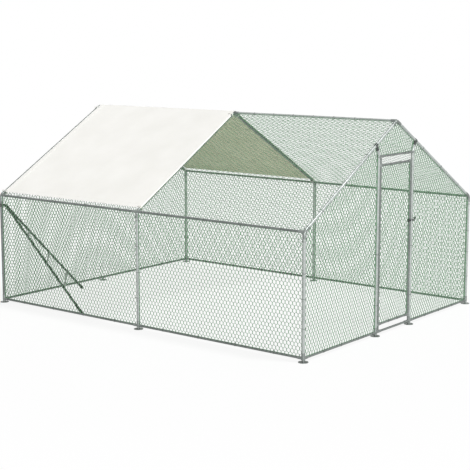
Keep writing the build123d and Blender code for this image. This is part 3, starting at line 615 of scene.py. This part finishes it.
# %% Shape of the sheet
def cover_point(along, down, lift=0.0):
    """A point of the cover: along the ridge from its left edge, and down a slope from the ridge."""
    wall = 1 if down > 0 else -1
    distance = abs(down)
    turn = min(distance / cover_bend, slope)
    straight = max(distance - bend_half, 0.0)
    normal = Vector((0, wall * sin(turn), cos(turn)))
    y = wall * (cover_bend * sin(turn) + straight * cos(slope))
    z = bend_centre + cover_bend * cos(turn) - straight * sin(slope)
    over = max(along - lip_start, 0.0)
    fold = min(over / lip_bend, pi / 2)
    x = cover_low[0] + along - over + lip_bend * sin(fold)
    drop = lip_bend * (1 - cos(fold)) + max(over - lip_turned, 0.0)
    sag = sin(pi * min(along / cover_width, 1.0)) * sin(pi * min(distance / cover_half, 1.0))
    pucker = exp(-(cover_half - distance) / pucker_fade) * sin(2 * pi * along / pucker_length) ** 2
    drop += cover_sag * sag + pucker_depth * pucker
    outwards = normal * cos(fold) + along_x * sin(fold)
    return Vector((x, y, z)) - normal * drop + outwards * lift


def hem_lift(along, down):
    """How far the hem stands above the single sheet at a place."""
    from_edge = min(along, cover_width - along, cover_half - abs(down))
    return hem_step if from_edge < hem_width + hem_ramp / 10 else 0.0


def steps(start, end, count):
    """Evenly spaced values from start to end."""
    return [start + (end - start) * i / count for i in range(count + 1)]


print("top of the cover at", round(cover_point(cover_width / 2, 0.0).z, 3), "m")

# %% [markdown]
# ## The cloth's mesh
# The mesh is a grid of lines on the flat sheet. Extra lines stand where something happens: at the hem's
# border, round each eyelet and along the turned edge. The square that holds an eyelet is left out, and
# four faces fill it up to a round hole. Solidify then gives the cloth its thickness and its two faces.

# %% Lines of the grid
# The eyelets lie beside the left rafter and the middle one, which the ties go round.
left_rafter_x = -1.96
tie_spots_x = (left_rafter_x + 42.25 * MM, -21.25 * MM)
tie_alongs = [x - cover_low[0] for x in tie_spots_x]
tie_from_end = 56 * MM
tie_downs = (ridge_to_bend + tie_from_end, ridge_to_bend + slope_length - tie_from_end)
tie_spots = [(a, wall * d) for wall in (-1, 1) for d in tie_downs for a in tie_alongs]
eyelet_cell = 10 * MM
eyelet_hole = 5.5 * MM
eyelet_points = 16
width_steps = 56
slope_steps = 44
bend_steps = 4
inner_hem = hem_width + hem_ramp
along_lines = [0.0, hem_width] + steps(inner_hem, cover_width - inner_hem, width_steps)
along_lines += [cover_width - hem_width, lip_end]
along_lines += steps(lip_start, lip_start + lip_turned, bend_steps)
along_lines += [a + side for a in tie_alongs for side in (-eyelet_cell, eyelet_cell)]
along_lines.sort()
slope_lines = steps(0.0, bend_half, bend_steps) + steps(lip_notch, cover_half - inner_hem, slope_steps)
slope_lines += [cover_half - hem_width, cover_half]
slope_lines += [d + side for d in tie_downs for side in (-eyelet_cell, eyelet_cell)]
down_lines = sorted(slope_lines + [-d for d in slope_lines[1:]])
print("grid:", len(along_lines), "by", len(down_lines), "lines")

# %% Faces of the grid, with round holes for the eyelets
# A cell's first corner lies in this direction from its middle, and so does the hole's first point.
first_corner = -0.75 * pi
same_place = 1e-6
flats = [(a, d) for d in down_lines for a in along_lines]
wide = len(along_lines)
quarter = eyelet_points // 4
faces = []
for row in range(len(down_lines) - 1):
    for column in range(wide - 1):
        corner = row * wide + column
        cell = (corner, corner + 1, corner + wide + 1, corner + wide)
        low, high = flats[corner], flats[corner + wide + 1]
        middle = ((low[0] + high[0]) / 2, (low[1] + high[1]) / 2)
        if middle[0] > lip_start and abs(middle[1]) < lip_notch:
            continue
        if not any(hypot(middle[0] - a, middle[1] - d) < same_place for a, d in tie_spots):
            faces.append(cell)
            continue
        first = len(flats)
        for i in range(eyelet_points):
            angle = 2 * pi * i / eyelet_points + first_corner
            flats.append((middle[0] + eyelet_hole * cos(angle), middle[1] + eyelet_hole * sin(angle)))
        for side in range(4):
            arc = [first + (side * quarter + i) % eyelet_points for i in range(quarter + 1)]
            faces.append((cell[side], cell[(side + 1) % 4], *reversed(arc)))
used = sorted({index for face in faces for index in face})
place_of = {index: place for place, index in enumerate(used)}
flats = [flats[index] for index in used]
faces = [[place_of[index] for index in face] for face in faces]
print("cloth:", len(flats), "points", len(faces), "faces")

# %% The sheet, with its thickness and two faces
cloth_mesh = bpy.data.meshes.new("cloth")
cloth_mesh.from_pydata([cover_point(a, d, hem_lift(a, d)) for a, d in flats], [], faces)
flat_map = cloth_mesh.uv_layers.new(name="cloth")
for loop in cloth_mesh.loops:
    flat_map.data[loop.index].uv = flats[loop.vertex_index]
for finish in (cover_outside, cover_inside):
    cloth_mesh.materials.append(finish)
cloth, solid = new_holder(cloth_mesh, "SOLIDIFY")
solid.thickness = cover_thickness
solid.offset = 0.0
solid.material_offset = 1
solid.material_offset_rim = 0
cover_mesh = frozen(cloth)
cover = new_piece("cover_sheet", cover_mesh, "frame")
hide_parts("roof_cover")
print("cover sheet:", len(cover_mesh.polygons), "faces,", len(tie_spots), "eyelet holes")

# %% [markdown]
# ## Eyelets and stitches
# An eyelet is a zinc ring pressed round a hole, so that a tie can't tear the cloth. The hem is held by
# a row of stitches. Both are one small shape, many times over, which is what Geometry Nodes is for: one
# tree sets a ring on every point that it is given, and the other turns every edge into a bit of thread.

# %% Rings on points
ring_inputs = {"Ring radius": 7.2 * MM, "Rim radius": 1.9 * MM}
ring_tree, wanted = new_tree("eyelet_rings", "Spots", ring_inputs, "Rings")
hoop = add_node(
    ring_tree, "GeometryNodeCurvePrimitiveCircle", {"Resolution": 24, "Radius": wanted["Ring radius"]}
)
rim_section = add_node(
    ring_tree, "GeometryNodeCurvePrimitiveCircle", {"Resolution": 8, "Radius": wanted["Rim radius"]}
)
ring = add_node(ring_tree, "GeometryNodeCurveToMesh", {0: hoop, 1: rim_section})
facing = add_node(
    ring_tree, "GeometryNodeInputNamedAttribute", {"Name": "outwards"}, data_type="FLOAT_VECTOR"
)
tilted = add_node(ring_tree, "FunctionNodeAlignRotationToVector", {"Vector": facing}, axis="Z")
spots = add_node(ring_tree, "GeometryNodeMeshToPoints", {0: wanted["Spots"]})
rings = add_node(
    ring_tree, "GeometryNodeInstanceOnPoints", {"Points": spots, "Instance": ring, "Rotation": tilted}
)
close_tree(ring_tree, rings, wanted["Finish"])

# %% Eyelets in the cover
ring_spots = bpy.data.meshes.new("ring_spots")
ring_spots.from_pydata([cover_point(a, d, hem_step) for a, d in tie_spots], [], [])
outwards = ring_spots.attributes.new("outwards", "FLOAT_VECTOR", "POINT")
for spot, (a, d) in zip(outwards.data, tie_spots):
    spot.vector = cover_point(a, d, 1.0) - cover_point(a, d)
eyelets_mesh = grown(ring_tree, ring_spots, {**ring_inputs, "Finish": bright_zinc})
eyelets = new_piece("cover_eyelets", eyelets_mesh, "frame")
print("eyelets:", len(tie_spots), "rings,", len(eyelets_mesh.polygons), "faces")

# %% Thread on edges
thread_inputs = {"Thread radius": 0.7 * MM}
thread_tree, asked = new_tree("sewn_thread", "Stitches", thread_inputs, "Thread")
runs = add_node(thread_tree, "GeometryNodeMeshToCurve", {0: asked["Stitches"]})
thread_section = add_node(
    thread_tree, "GeometryNodeCurvePrimitiveCircle", {"Resolution": 4, "Radius": asked["Thread radius"]}
)
threads = add_node(thread_tree, "GeometryNodeCurveToMesh", {0: runs, 1: thread_section})
close_tree(thread_tree, threads, asked["Finish"])

# %% Stitches along the hem
# Real stitches are 4 mm long; they are drawn 10 mm long, 16 mm apart, so that they show.
stitch_pitch = 16 * MM
stitch_half = 5 * MM
seam_inset = hem_width - 6 * MM
thread_heights = (-0.3 * MM, 0.6 * MM, -0.3 * MM)
on_cloth = hem_step + cover_thickness / 2
seams = []
for down in (-cover_half + seam_inset, cover_half - seam_inset):
    count = int((cover_width - 2 * seam_inset) / stitch_pitch)
    seams += [((a, down), (1, 0)) for a in steps(seam_inset, cover_width - seam_inset, count)]
for across_ridge in (seam_inset, cover_width - seam_inset):
    count = int(2 * (cover_half - seam_inset) / stitch_pitch)
    places = steps(-cover_half + seam_inset, cover_half - seam_inset, count)
    seams += [((across_ridge, d), (0, 1)) for d in places]
thread_points = []
for (a, d), (step_a, step_d) in seams:
    for reach, height in zip((-stitch_half, 0.0, stitch_half), thread_heights):
        thread_points.append(cover_point(a + reach * step_a, d + reach * step_d, on_cloth + height))
points_each = len(thread_heights)
thread_edges = [(i, i + 1) for i in range(len(thread_points)) if (i + 1) % points_each]
thread_mesh = bpy.data.meshes.new("stitch_edges")
thread_mesh.from_pydata(thread_points, thread_edges, [])
stitches_mesh = grown(thread_tree, thread_mesh, {**thread_inputs, "Finish": sewing_thread})
stitches = new_piece("cover_stitches", stitches_mesh, "frame")
print("stitches:", len(seams), "with", len(stitches_mesh.polygons), "faces")

# %% [markdown]
# ## Camera
# The camera stands off the door corner, a little higher than the ridge and far away with a long lens,
# which keeps the posts almost parallel. Its place and direction came from matching the posts' feet, the
# eaves and the ridge to a photograph.

# %% Camera
camera_place = Vector((7.801, -9.851, 2.815))
camera_yaw = radians(128.33)
camera_pitch = radians(-9.40)
focal_px = 1199.1
image_px = 470
camera_data = bpy.data.cameras.new("camera")
camera_data.sensor_width = 36.0
camera_data.lens = camera_data.sensor_width * focal_px / image_px
camera = bpy.data.objects.new("camera", camera_data)
level = cos(camera_pitch)
gaze = Vector((cos(camera_yaw) * level, sin(camera_yaw) * level, sin(camera_pitch)))
turned = gaze.to_track_quat("-Z", "Y").to_matrix().to_4x4()
camera.matrix_world = Matrix.Translation(camera_place) @ turned
scene.collection.objects.link(camera)
scene.camera = camera
print("lens", round(camera_data.lens, 1), "mm")

# %% [markdown]
# ## Floor and light
# A studio cove has no visible edge: the floor turns into the backdrop. Here the floor is a wide disc
# of matte white that takes the shadow near the object and fades to plain white further out, where it
# meets a white world. The world is white to the eye and to reflections, and dimmer as a light, so
# that two far lamps can still model the tubes: one overhead, for the cover and the shadow, and one
# broad and soft from the door's side.


# %% World
def eye_rays(tree):
    """A node that gives 1 to what the eye sees, also by reflection or through glass, and 0 to light."""
    rays = add_node(tree, "ShaderNodeLightPath").outputs
    seen = add_node(
        tree, "ShaderNodeMath", {0: rays["Is Camera Ray"], 1: rays["Is Glossy Ray"]}, operation="ADD"
    )
    through = {0: seen, 1: rays["Is Transmission Ray"]}
    return add_node(tree, "ShaderNodeMath", through, operation="ADD", use_clamp=True)


world_light = 0.33
world_white = 1.0
world = bpy.data.worlds.new("studio")
world.use_nodes = True
sky = world.node_tree
sky.nodes.clear()
dim = add_node(sky, "ShaderNodeBackground", {"Color": (1, 1, 1, 1), "Strength": world_light})
bright = add_node(sky, "ShaderNodeBackground", {"Color": (1, 1, 1, 1), "Strength": world_white})
backdrop = add_node(sky, "ShaderNodeMixShader", {0: eye_rays(sky), 1: dim, 2: bright})
add_node(sky, "ShaderNodeOutputWorld", {"Surface": backdrop})
scene.world = world
scene.view_settings.view_transform = "Standard"
print("world:", world_light, "as a light,", world_white, "to the eye")

# %% Floor
floor_radius = 60.0
floor_drop = 0.5 * MM
rim_points = 96
fade_start = 3.2
fade_end = 6.5
near_white = 0.87
floor_mesh = bpy.data.meshes.new("floor")
turns = steps(0.0, 2 * pi, rim_points)[:-1]
rim = [(floor_radius * cos(t), floor_radius * sin(t), -floor_drop) for t in turns]
floor_mesh.from_pydata(rim, [], [range(len(rim))])
floor = bpy.data.objects.new("floor", floor_mesh)
scene.collection.objects.link(floor)
# Matte white paint: plain, without a highlight.
floor_paint, paint = new_material("matte_white_cove")
floor_place = add_node(paint, "ShaderNodeTexCoord").outputs["Object"]
from_middle = add_node(paint, "ShaderNodeVectorMath", {0: floor_place}, operation="LENGTH")
fade = add_node(
    paint,
    "ShaderNodeMapRange",
    {
        "Value": from_middle.outputs["Value"],
        "From Min": fade_start,
        "From Max": fade_end,
        "To Min": near_white,
    },
    interpolation_type="SMOOTHSTEP",
)
matte = add_node(paint, "ShaderNodeBsdfDiffuse", {"Color": linear("#fdfdfd")})
white = add_node(paint, "ShaderNodeEmission", {"Strength": 1.0})
whitened = add_node(paint, "ShaderNodeMath", {0: fade, 1: eye_rays(paint)}, operation="MULTIPLY")
cove = add_node(paint, "ShaderNodeMixShader", {0: whitened, 1: matte, 2: white})
add_node(paint, "ShaderNodeOutputMaterial", {"Surface": cove})
floor_mesh.materials.append(floor_paint)
print("floor radius", floor_radius, "m")


# %% Lamps
def add_lamp(name, energy, spread, shines):
    """A far lamp: its strength, its apparent width in degrees, and the direction in which it shines."""
    lamp_data = bpy.data.lights.new(name, "SUN")
    lamp_data.energy = energy
    lamp_data.angle = radians(spread)
    lamp = bpy.data.objects.new(name, lamp_data)
    lamp.matrix_world = Vector(shines).to_track_quat("-Z", "Y").to_matrix().to_4x4()
    scene.collection.objects.link(lamp)


add_lamp("overhead_lamp", 1.6, 8, (-0.378, -0.147, -0.915))
add_lamp("side_softbox", 2.1, 30, (-0.82, 0.52, -0.22))
